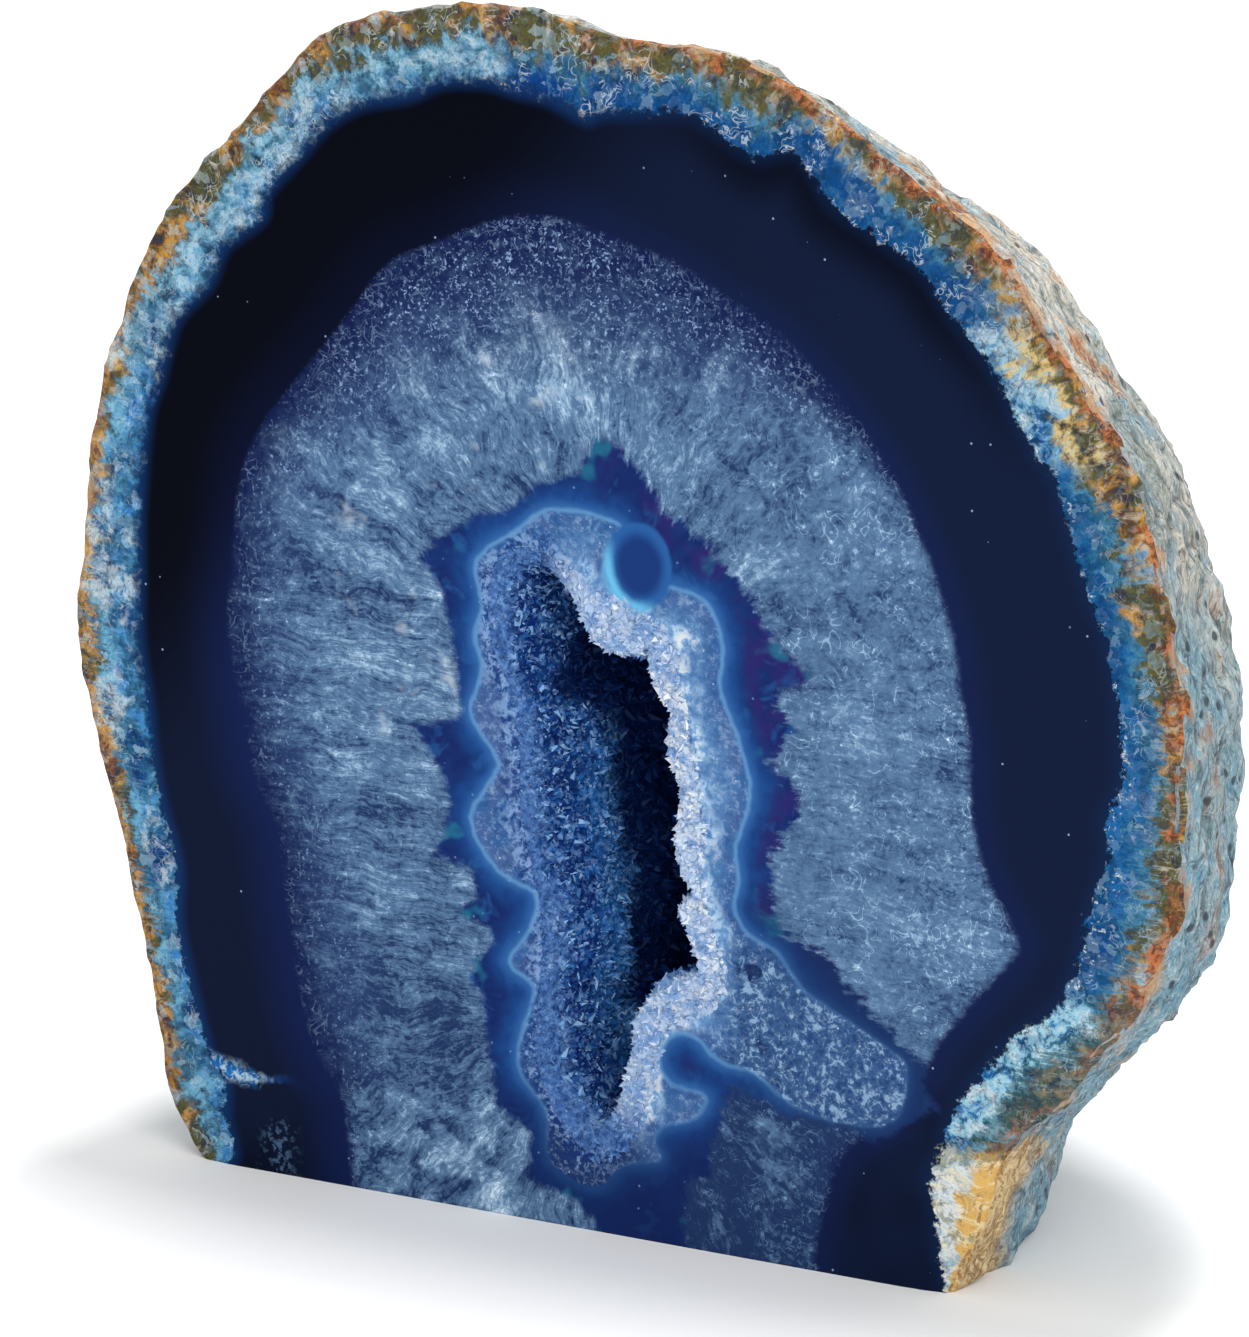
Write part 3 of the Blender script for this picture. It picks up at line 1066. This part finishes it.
for zone_name, zone_colour, bumpy, where in zones:
    zone_materials.append(only(zone_name, zone_colour, bumpy))
    face_slots[on_the_face & where] = BASE_SLOT + len(zone_materials)
    print(zone_name, "covers", (on_the_face & where).sum(), "faces")
stone_mesh.polygons.foreach_set("material_index", face_slots)

# %% [markdown]
# ## The rough rind
# The outside is weathered: grey-beige and pale blue skin over ropy strands, with rust and
# ochre along the ledges, and nearly black dirt in the cracks and pits. The strands lie side by
# side with the rim. Each point of the rind keeps how far back it is along the surface, and the
# noise is read there, long along the rim and short across it, so it fits the shape all round.

# %% The rough rind
skin = Paint("rough_rind")
relief = skin.stored("relief")
strand = skin.stored("strand", "Vector")
skin_side, skin_up = skin.parts_of(skin.place, "X", "Z")
across = skin.parts_of(strand, "Y")[0]

SKIN_GREY = tint(124, 166, 182)
SKIN_BEIGE = tint(222, 208, 186)
SKIN_PALE = tint(212, 218, 216)
SKIN_BLUE = tint(96, 150, 178)
SKIN_TEAL = tint(76, 122, 140)
SKIN_RUST = tint(164, 96, 58)
SKIN_OCHRE = tint(198, 158, 112)
SKIN_DIRT = tint(56, 66, 74)

long_strand = skin.stretched(strand, (0.42, 1.0, 0.42))
short_strand = skin.stretched(strand, (0.75, 1.0, 0.75))
wide = skin.noise(15.0, 3.0, at=strand)
ropes = skin.noise(2.2, 4.0, 0.68, at=long_strand, bend=1.2)
fine_ropes = skin.noise(0.9, 4.0, 0.72, at=short_strand, bend=1.4)
stain = skin.noise(5.0, 4.0, 0.65, at=long_strand, bend=0.8)
crevice = skin.threads(1.7, 0.06, at=long_strand) * skin.noise(2.8, 2.0, at=short_strand).rise(0.40, 0.54)
glints = skin.threads(1.1, 0.06, at=short_strand) * skin.noise(2.1, 2.0, at=strand).rise(0.46, 0.58)
holes = skin.grains(2.0, 0.26, 0.35, at=short_strand)
high_up = skin_up.rise(0.050, 0.090)
skin_colour = skin.layers(
    SKIN_GREY,
    (wide.rise(0.46, 0.62) * (0.20 + 0.65 * high_up), SKIN_BEIGE),
    (high_up * wide.rise(0.30, 0.50) * 0.75, SKIN_BEIGE),
    (skin_up.rise(0.060, 0.020) * ropes.rise(0.40, 0.55) * 0.5, SKIN_BLUE),
    (ropes.rise(0.50, 0.62) * 0.6, SKIN_BLUE),
    (ropes.rise(0.47, 0.36) * 0.75, SKIN_TEAL),
    (high_up * stain.rise(0.48, 0.40) * 0.7, tint(116, 128, 122)),
    (stain.rise(0.53, 0.61) * (0.25 + 0.60 * high_up), SKIN_OCHRE),
    (stain.rise(0.59, 0.67) * (0.45 + 0.50 * high_up), SKIN_RUST),
    (fine_ropes.rise(0.52, 0.68) * 0.55, SKIN_PALE),
    (fine_ropes.rise(0.47, 0.32) * (0.72 - 0.20 * high_up), SKIN_DIRT),
    (relief.rise(-0.12, -0.45) * (0.65 - 0.25 * high_up), SKIN_DIRT),
    (relief.rise(0.12, 0.45) * 0.30, SKIN_PALE),
    (glints * 0.5, SKIN_PALE),
    (crevice * 0.65, SKIN_DIRT),
    (holes * 0.9, SKIN_DIRT),
)
corner = (across + (ropes - 0.5) * 9.0).rise(2.4, 0.6) * stain.rise(0.40, 0.52)
corner_colour = skin.mix(stain.rise(0.40, 0.60), SKIN_RUST, SKIN_OCHRE)
skin_colour = skin.mix(corner * (0.55 + 0.3 * skin_side.rise(-0.010, 0.010)), skin_colour, corner_colour)
yellow_block = (skin_up + (ropes - 0.5) * 0.012).rise(0.0160, 0.0140) * (across + (stain - 0.5) * 8.0).rise(8.0, 5.0) * skin_side.rise(0.0, 0.010)
skin_colour = skin.mix(
    yellow_block * 0.85, skin_colour, skin.mix(fine_ropes.rise(0.42, 0.58), tint(170, 126, 72), tint(234, 206, 150))
)
skin_height = ropes * 1.0 + fine_ropes * 0.9
rough_rind = skin.finish(
    Base_Color=skin_colour,
    Roughness=0.72,
    Specular_IOR_Level=0.25,
    Normal=skin.bump(skin_height, 0.0009, 0.9),
)
print("the rough rind has", len(skin.tree.nodes), "nodes")

# %% The sawn base
sawn = Paint("sawn_base")
saw_marks = sawn.noise(0.0012, 2.0, at=sawn.stretched(sawn.place, (0.05, 1.0, 1.0)))
base_colour = sawn.mix(sawn.noise(0.012, 3.0), tint(30, 44, 84), tint(84, 104, 136))
base_colour = sawn.mix(sawn.stored("rind").rise(-0.3, 0.3), base_colour, tint(150, 150, 132))
sawn_base = sawn.finish(
    Base_Color=base_colour, Roughness=0.55, Normal=sawn.bump(saw_marks, 0.0001, 0.5)
)

for material in (polished, rough_rind, sawn_base, *zone_materials):
    stone_mesh.materials.append(material)
stone = bpy.data.objects.new("agate_stone", stone_mesh)
bpy.context.scene.collection.objects.link(stone)
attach(stone, "root")
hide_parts("agate_half")
print("the stone replaces the solid agate_half")

# %% [markdown]
# ## The wall of the hollow
# Quartz points sit on a wall. It starts flush with the polished face at the hollow's mouth,
# slopes in like a worn lip, and then runs steeply back. The points grow on this wall and
# stand at right angles to it, so the wall is made first, as a net of its own.

# %% The wall of the hollow
CRUST_MOUTH = [
    (-7.4, 67.2), (-10.6, 66.2), (-11.8, 62.4), (-11.4, 57.4), (-10.0, 53.0), (-9.2, 48.0),
    (-9.3, 43.0), (-8.4, 38.0), (-7.2, 33.0), (-6.9, 28.0), (-7.4, 22.5), (-7.4, 17.0),
    (-5.8, 12.6), (-3.0, 9.2), (-0.8, 10.3), (1.0, 13.1), (1.8, 16.6), (2.7, 19.3), (2.6, 21.8),
    (4.7, 24.7), (7.4, 26.4), (9.5, 27.7), (9.3, 29.8), (8.3, 32.6), (7.4, 33.9), (9.1, 35.9),
    (7.6, 38.6), (7.1, 41.3), (7.5, 46.1), (6.4, 49.5), (6.4, 53.8), (4.8, 56.4), (4.0, 60.2),
    (2.2, 59.6), (-1.7, 59.8), (-4.2, 64.1),
]
WALL_COLUMNS = 260
WALL_ROWS = 40
WALL_INSET = 1.3
WALL_DEPTH = 24.6
LIP_ROWS = 4
LIP_UNDER = 0.5
LIP_DEPTH = 0.25
RIDGE = 1.4

wall_fan = np.arange(WALL_COLUMNS) / WALL_COLUMNS * math.tau
stone_mouth = by_fan(flowing(HOLLOW_MOUTH, 12), wall_fan)
crust_mouth = by_fan(flowing(CRUST_MOUTH, 8), wall_fan)
hub = np.array([FAN[0], FAN[1]])


def inward_of(outline):
    """The directions into a closed outline at each of its points."""
    run = np.roll(outline, -3, axis=0) - np.roll(outline, 3, axis=0)
    away = np.stack([-run[:, 1], run[:, 0]], axis=1)
    return away / np.linalg.norm(away, axis=1)[:, None]


def lip_row(share):
    """A row of the lip, just under the polished face. share is 1 at its outer edge."""
    outer = stone_mouth - inward_of(stone_mouth) * LIP_UNDER
    flat = crust_mouth + (outer - crust_mouth) * share
    depth = LIP_DEPTH * (1.0 - 0.5 * share)
    return np.stack([flat[:, 0], np.full(WALL_COLUMNS, depth), flat[:, 1]], axis=1)


def wall_row(step):
    """A row of the wall, as points in millimetres."""
    share = step / WALL_ROWS
    sink = math.sin(math.radians(89.0) * share)
    size = (1.0 - sink**2.6) ** (1 / 2.6)
    depth = LIP_DEPTH + (WALL_DEPTH - LIP_DEPTH) * sink
    slope = min(1.0, depth / 2.6)
    flat = hub + (crust_mouth + inward_of(crust_mouth) * WALL_INSET * slope**0.8 - hub) * size
    points = np.stack([flat[:, 0] + HOLLOW_LEAN * depth, np.full(WALL_COLUMNS, depth), flat[:, 1]], axis=1)
    for point in points:
        wave = noise.noise(Vector(point) / 5.0) + 0.6 * noise.noise(Vector(point) / 2.2)
        point[:2] += 0.9 * wave * min(1.0, depth / 3.0)
        at_height = min(1.0, max(0.0, (point[2] - 22.0) / 4.0)) * min(1.0, max(0.0, (50.0 - point[2]) / 3.0))
        if point[0] < HOLLOW_LEAN * depth:
            point[0] += RIDGE * at_height * max(0.0, 1.0 - abs(depth - 6.5) / 3.5)
    return points


lip_shares = [1.0 - row / LIP_ROWS for row in range(LIP_ROWS)]
wall_rows = [lip_row(share) for share in lip_shares]
wall_rows += [wall_row(step) for step in range(WALL_ROWS + 1)]
wall_rows = np.array(wall_rows)
wall_depth = wall_rows[:, :, 1]
plenty = np.interp(wall_depth, [0.1, 0.3, 1.5, 11.0, 15.0], [1.9, 1.9, 1.1, 0.9, 0.25])
plenty *= np.where((wall_depth < 0.5) & (wall_rows[:, :, 0] < -5.0), 0.7, 1.0)
coarse = np.interp(wall_depth, [0.1, 0.3, 2.0, 8.0, 15.0], [0.62, 0.62, 0.85, 1.0, 1.3])
coarse *= np.where((wall_depth < 2.0) & (wall_rows[:, :, 0] > -4.0), 1.35, 1.0)
wall_shape = woven(wall_rows, (-1,))
wall_shape.verts.ensure_lookup_table()
for layer_name, values in (("plenty", plenty), ("coarse", coarse)):
    value_layer = wall_shape.verts.layers.float.new(layer_name)
    for vert, value in zip(wall_shape.verts, [*values.ravel(), values[-1, 0]]):
        vert[value_layer] = value
for face_of_wall in wall_shape.faces:
    face_of_wall.smooth = True
wall_mesh = bpy.data.meshes.new("hollow_wall")
wall_shape.to_mesh(wall_mesh)
wall_shape.free()
wall_mesh.transform(Matrix.Translation((FACE_X, FACE_Y, 0.0)) @ Matrix.Scale(MM, 4))
deepest = max(wall_mesh.polygons, key=lambda polygon: polygon.center.y)
if deepest.normal.y > 0:
    wall_mesh.flip_normals()
print("wall:", len(wall_mesh.polygons), "faces, looking into the hollow")

# %% [markdown]
# ## One quartz point
# Quartz is a six-sided prism with a six-sided tip. The tip's faces are taken in turn, large
# and small, as in nature. It is made of a cone primitive, one unit wide and tall, with few
# faces, because thousands of them are joined into the crust.

# %% One quartz point
crystal_shape = bmesh.new()
bmesh.ops.create_cone(
    crystal_shape, cap_ends=True, segments=6, radius1=0.5, radius2=0.0, depth=1.0,
    matrix=Matrix.Translation((0, 0, 0.1)),
)
tip = max(crystal_shape.verts, key=lambda vert: vert.co.z)
tip.co.x += 0.14
base_corners = [vert for vert in crystal_shape.verts if vert is not tip]
for base_corner in base_corners[::2]:
    base_corner.co.x *= 1.25
    base_corner.co.y *= 1.25
crystal_mesh = bpy.data.meshes.new("quartz_point")
crystal_shape.to_mesh(crystal_mesh)
crystal_shape.free()
crystal = bpy.data.objects.new("quartz_point", crystal_mesh)
bpy.context.scene.collection.objects.link(crystal)
print("a point has", sum(len(p.vertices) - 2 for p in crystal_mesh.polygons), "triangles")

# %% [markdown]
# ## The crust of points
# Geometry Nodes scatter the points over the wall. Each one is turned to stand off the wall,
# then tilted and sized at random from a fixed seed. A random shade is stored on each, so that
# neighbours catch the light differently, and the tree ends with real faces and a material.

# %% The crust's material
druse = Paint("quartz_druse")
druse_x, druse_from_origin, druse_up = druse.parts_of(druse.place, "X", "Y", "Z")
druse_y = druse_from_origin - FACE_Y
shade = druse.stored("shade")

glint = druse.stored("glint")

DRUSE_WHITE = tint(198, 212, 228)
DRUSE_CREAM = tint(204, 211, 219)
DRUSE_ICE = tint(112, 152, 200)
DRUSE_LILAC = tint(66, 104, 162)
DRUSE_BLUE = tint(34, 92, 160)
DRUSE_DEEP = tint(14, 44, 110)
DRUSE_INK = tint(10, 30, 76)

druse_clouds = druse.noise(0.0045, 3.0)
druse_mottle = druse.noise(0.0018, 3.0)
grit = druse.noise(0.0006, 2.0)
reach = (
    9.5 * MM
    - 6.0 * MM * druse_up.near(0.0535, 0.0045)
    - 1.5 * MM * druse_up.rise(0.052, 0.058)
    + 6.0 * MM * druse_up.rise(0.022, 0.014)
)
stage = (druse_y + (shade - 0.5) * 0.0014 + (druse_clouds - 0.5) * 0.005) / reach
right_wall = (druse_x + druse_up.rise(0.056, 0.062) * 0.0040).rise(-0.0040, 0.0010)
lit_ridge = druse_up.rise(0.050, 0.046)
lip_zone = right_wall * druse_y.rise(0.0022, 0.0008) * druse_up.rise(0.0100, 0.0150)
left_colour = druse.layers(
    DRUSE_LILAC,
    (stage.rise(0.06, 0.20), DRUSE_DEEP),
    ((druse_mottle + (shade - 0.5) * 0.3).rise(0.42, 0.58) * 0.75 * stage.rise(0.02, 0.10), DRUSE_BLUE),
    (stage.rise(0.30, 0.70) * (0.15 + 0.55 * lit_ridge), tint(44, 108, 170)),
    (druse_mottle.rise(0.55, 0.65) * stage.near(0.05, 0.13) * 0.7, tint(136, 168, 210)),
    (glint.rise(0.46, 0.16) * stage.rise(0.0, 0.08) * 0.7, tint(7, 26, 80)),
    (glint.rise(0.85, 0.95) * (0.30 + 0.60 * stage.rise(0.0, 0.12)), tint(140, 182, 224)),
    (shade.rise(0.88, 0.97) * 0.5, tint(110, 156, 206)),
    (grit.rise(0.53, 0.64) * 0.45, tint(112, 150, 202)),
    (grit.rise(0.47, 0.36) * 0.50, tint(18, 44, 104)),
    (stage.rise(0.86, 1.12), DRUSE_INK),
    (stage.rise(0.90, 1.10) * glint.rise(0.80, 0.94) * 0.6, tint(26, 64, 128)),
)
lip_shade = druse.mix(druse_clouds.rise(0.44, 0.60), DRUSE_WHITE, DRUSE_CREAM)
lip_crystals = druse.layers(
    lip_shade,
    (druse_mottle.rise(0.48, 0.60) * 0.75, DRUSE_ICE),
    (druse_y.rise(0.0005, 0.0016) * 0.60, tint(84, 128, 186)),
    (glint.rise(0.30, 0.08) * 0.45, DRUSE_ICE),
    (shade.rise(0.40, 0.10) * 0.55, tint(92, 136, 192)),
    (druse_up.rise(0.032, 0.024) * 0.30, DRUSE_ICE),
    (druse_up.rise(0.055, 0.060) * 0.40, DRUSE_ICE),
    (glint.rise(0.86, 0.96) * 0.7, tint(238, 240, 244)),
)
druse_colour = druse.mix(lip_zone, left_colour, lip_crystals)
druse_material = druse.finish(
    Base_Color=druse_colour, Roughness=0.25, Specular_IOR_Level=0.15, Specular_Tint=(0.35, 0.6, 1.0)
)

# %% The crust's tree
tree = bpy.data.node_groups.new("scatter_points", "GeometryNodeTree")
wall_socket = tree.interface.new_socket("Wall", in_out="INPUT", socket_type="NodeSocketGeometry")
crystal_socket = tree.interface.new_socket("Crystal", in_out="INPUT", socket_type="NodeSocketObject")
density_socket = tree.interface.new_socket("Density", in_out="INPUT", socket_type="NodeSocketFloat")
small_socket = tree.interface.new_socket("Smallest", in_out="INPUT", socket_type="NodeSocketFloat")
large_socket = tree.interface.new_socket("Largest", in_out="INPUT", socket_type="NodeSocketFloat")
tilt_socket = tree.interface.new_socket("Tilt", in_out="INPUT", socket_type="NodeSocketFloat")
tree.interface.new_socket("Crust", in_out="OUTPUT", socket_type="NodeSocketGeometry")


def add(kind, settings=None, inputs=None):
    """A node of the crust's tree, with its settings and what goes into its sockets."""
    made = tree.nodes.new(kind)
    for name, value in (settings or {}).items():
        setattr(made, name, value)
    for key, value in (inputs or {}).items():
        if isinstance(value, bpy.types.NodeSocket):
            tree.links.new(value, made.inputs[key])
        else:
            made.inputs[key].default_value = value
    return made


given = add("NodeGroupInput").outputs
plenty_here = add("GeometryNodeInputNamedAttribute", {"data_type": "FLOAT"}, {"Name": "plenty"})
thinned = add(
    "ShaderNodeMath", {"operation": "MULTIPLY"}, {0: given["Density"], 1: plenty_here.outputs[0]}
)
scatter = add(
    "GeometryNodeDistributePointsOnFaces",
    {"distribute_method": "RANDOM"},
    {"Mesh": given["Wall"], "Density": thinned.outputs[0], "Seed": 4},
)
any_share = add("FunctionNodeRandomValue", {"data_type": "FLOAT"}, {"Seed": 5})
share_power = add("ShaderNodeMath", {"operation": "POWER"}, {0: any_share.outputs[1], 1: 2.2})
size = add(
    "ShaderNodeMapRange",
    None,
    {"Value": share_power.outputs[0], "To Min": given["Smallest"], "To Max": given["Largest"]},
)
coarse_here = add("GeometryNodeInputNamedAttribute", {"data_type": "FLOAT"}, {"Name": "coarse"})
width = add("ShaderNodeMath", {"operation": "MULTIPLY"}, {0: size.outputs[0], 1: coarse_here.outputs[0]})
length = add("FunctionNodeRandomValue", {"data_type": "FLOAT"}, {2: 0.55, 3: 1.25, "Seed": 6})
taller = add("ShaderNodeMath", {"operation": "MULTIPLY"}, {0: width.outputs[0], 1: length.outputs[1]})
scale = add(
    "ShaderNodeCombineXYZ", None, {0: width.outputs[0], 1: width.outputs[0], 2: taller.outputs[0]}
)
negative = add("ShaderNodeMath", {"operation": "MULTIPLY"}, {0: given["Tilt"], 1: -1.0})
low = add("ShaderNodeCombineXYZ", None, {0: negative.outputs[0], 1: negative.outputs[0], 2: 0.0})
high = add("ShaderNodeCombineXYZ", None, {0: given["Tilt"], 1: given["Tilt"], 2: math.tau})
lean = add(
    "FunctionNodeRandomValue",
    {"data_type": "FLOAT_VECTOR"},
    {0: low.outputs[0], 1: high.outputs[0], "Seed": 7},
)
turned = add(
    "FunctionNodeRotateRotation",
    {"rotation_space": "LOCAL"},
    {0: scatter.outputs["Rotation"], 1: lean.outputs[0]},
)
placed = add(
    "GeometryNodeInstanceOnPoints",
    None,
    {
        "Points": scatter.outputs["Points"],
        "Instance": add("GeometryNodeObjectInfo", None, {"Object": given["Crystal"]}).outputs["Geometry"],
        "Rotation": turned.outputs[0],
        "Scale": scale.outputs[0],
    },
)
shades = add("FunctionNodeRandomValue", {"data_type": "FLOAT"}, {"Seed": 8})
kept = add(
    "GeometryNodeStoreNamedAttribute",
    {"data_type": "FLOAT", "domain": "INSTANCE"},
    {"Geometry": placed.outputs[0], "Name": "shade", "Value": shades.outputs[1]},
)
real = add("GeometryNodeRealizeInstances", None, {"Geometry": kept.outputs[0]})
joined = add("GeometryNodeJoinGeometry")
tree.links.new(real.outputs[0], joined.inputs[0])
tree.links.new(given["Wall"], joined.inputs[0])
glints = add("FunctionNodeRandomValue", {"data_type": "FLOAT"}, {"Seed": 9})
glinting = add(
    "GeometryNodeStoreNamedAttribute",
    {"data_type": "FLOAT", "domain": "FACE"},
    {"Geometry": joined.outputs[0], "Name": "glint", "Value": glints.outputs[1]},
)
dressed = add(
    "GeometryNodeSetMaterial", None, {"Geometry": glinting.outputs[0], "Material": druse_material}
)
leaves = tree.nodes.new("NodeGroupOutput")
tree.links.new(dressed.outputs[0], leaves.inputs[0])
print("the crust's tree has", len(tree.nodes), "nodes")

# %% Growing the crust
POINTS_PER_SQUARE_METRE = 6.3e6

wall = bpy.data.objects.new("hollow_wall", wall_mesh)
bpy.context.scene.collection.objects.link(wall)
grow = wall.modifiers.new("crust", "NODES")
grow.node_group = tree
grow[crystal_socket.identifier] = crystal
grow[density_socket.identifier] = POINTS_PER_SQUARE_METRE
grow[small_socket.identifier] = 0.34 * MM
grow[large_socket.identifier] = 1.35 * MM
grow[tilt_socket.identifier] = 0.80
bpy.context.view_layer.update()
graph = bpy.context.evaluated_depsgraph_get()
crust_mesh = bpy.data.meshes.new_from_object(wall.evaluated_get(graph))
wall.modifiers.remove(grow)
crust = bpy.data.objects.new("quartz_crust", crust_mesh)
bpy.context.scene.collection.objects.link(crust)
bpy.data.objects.remove(wall)
bpy.data.objects.remove(crystal)
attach(crust, "root")
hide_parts("crystal_crust")
print("crust:", sum(len(p.vertices) - 2 for p in crust_mesh.polygons), "triangles")

# %% [markdown]
# ## Floor, light and camera
# The stone stands on a plain pale floor in a bright studio. A white world fills the shadows, a
# large soft light from above shapes the stone, and two weaker ones open up its sides. The
# camera stands well back with a long lens, to the right of the face and a little above it.

# %% The floor
floor_mesh = bpy.data.meshes.new("floor")
floor_shape = bmesh.new()
bmesh.ops.create_grid(floor_shape, x_segments=1, y_segments=1, size=3.0)
floor_shape.to_mesh(floor_mesh)
floor_shape.free()
floor = bpy.data.objects.new("floor", floor_mesh)
bpy.context.scene.collection.objects.link(floor)
floor_paint = Paint("pale_floor")
floor_mesh.materials.append(floor_paint.finish(Base_Color=(0.86, 0.86, 0.86), Roughness=0.9, Specular_IOR_Level=0.0))

# %% The light
world = bpy.data.worlds.new("studio")
bpy.context.scene.world = world
world.use_nodes = True
world.node_tree.nodes["Background"].inputs["Color"].default_value = (1.0, 1.0, 1.0, 1.0)
world.node_tree.nodes["Background"].inputs["Strength"].default_value = 0.80
bpy.context.scene.view_settings.view_transform = "Standard"


def soft_light(name, place, aim, width, watts):
    """A square area light that looks at aim."""
    data = bpy.data.lights.new(name, "AREA")
    data.size = width
    data.energy = watts
    lamp = bpy.data.objects.new(name, data)
    bpy.context.scene.collection.objects.link(lamp)
    turn = (Vector(aim) - Vector(place)).to_track_quat("-Z", "Y")
    lamp.matrix_world = Matrix.Translation(place) @ turn.to_matrix().to_4x4()
    return lamp


soft_light("back_softbox", (0.03, 0.155, 1.0), (0.0, 0.0, 0.0), 0.24, 7.0)
soft_light("front_softbox", (0.55, -0.60, 0.70), (0.0, 0.0, 0.06), 0.5, 4.0)

# %% The camera
CAMERA_RIGHT = math.radians(27.0)
CAMERA_UP = math.radians(16.72)
CAMERA_AWAY = 739.7 * MM
AIM = Vector((1.54 * MM + FACE_X, FACE_Y, 57.48 * MM))

camera_data = bpy.data.cameras.new("camera")
camera_data.sensor_width = 36.0
camera_data.lens = 210.0
camera_data.clip_start = 0.01
camera = bpy.data.objects.new("camera", camera_data)
bpy.context.scene.collection.objects.link(camera)
back = Vector(
    (
        math.sin(CAMERA_RIGHT) * math.cos(CAMERA_UP),
        -math.cos(CAMERA_RIGHT) * math.cos(CAMERA_UP),
        math.sin(CAMERA_UP),
    )
)
camera.location = AIM + back * CAMERA_AWAY
camera.rotation_euler = back.to_track_quat("Z", "Y").to_euler()
bpy.context.scene.camera = camera
print("camera at", [round(c, 3) for c in camera.location])

# %% Sizes, and the end
bpy.context.view_layer.update()
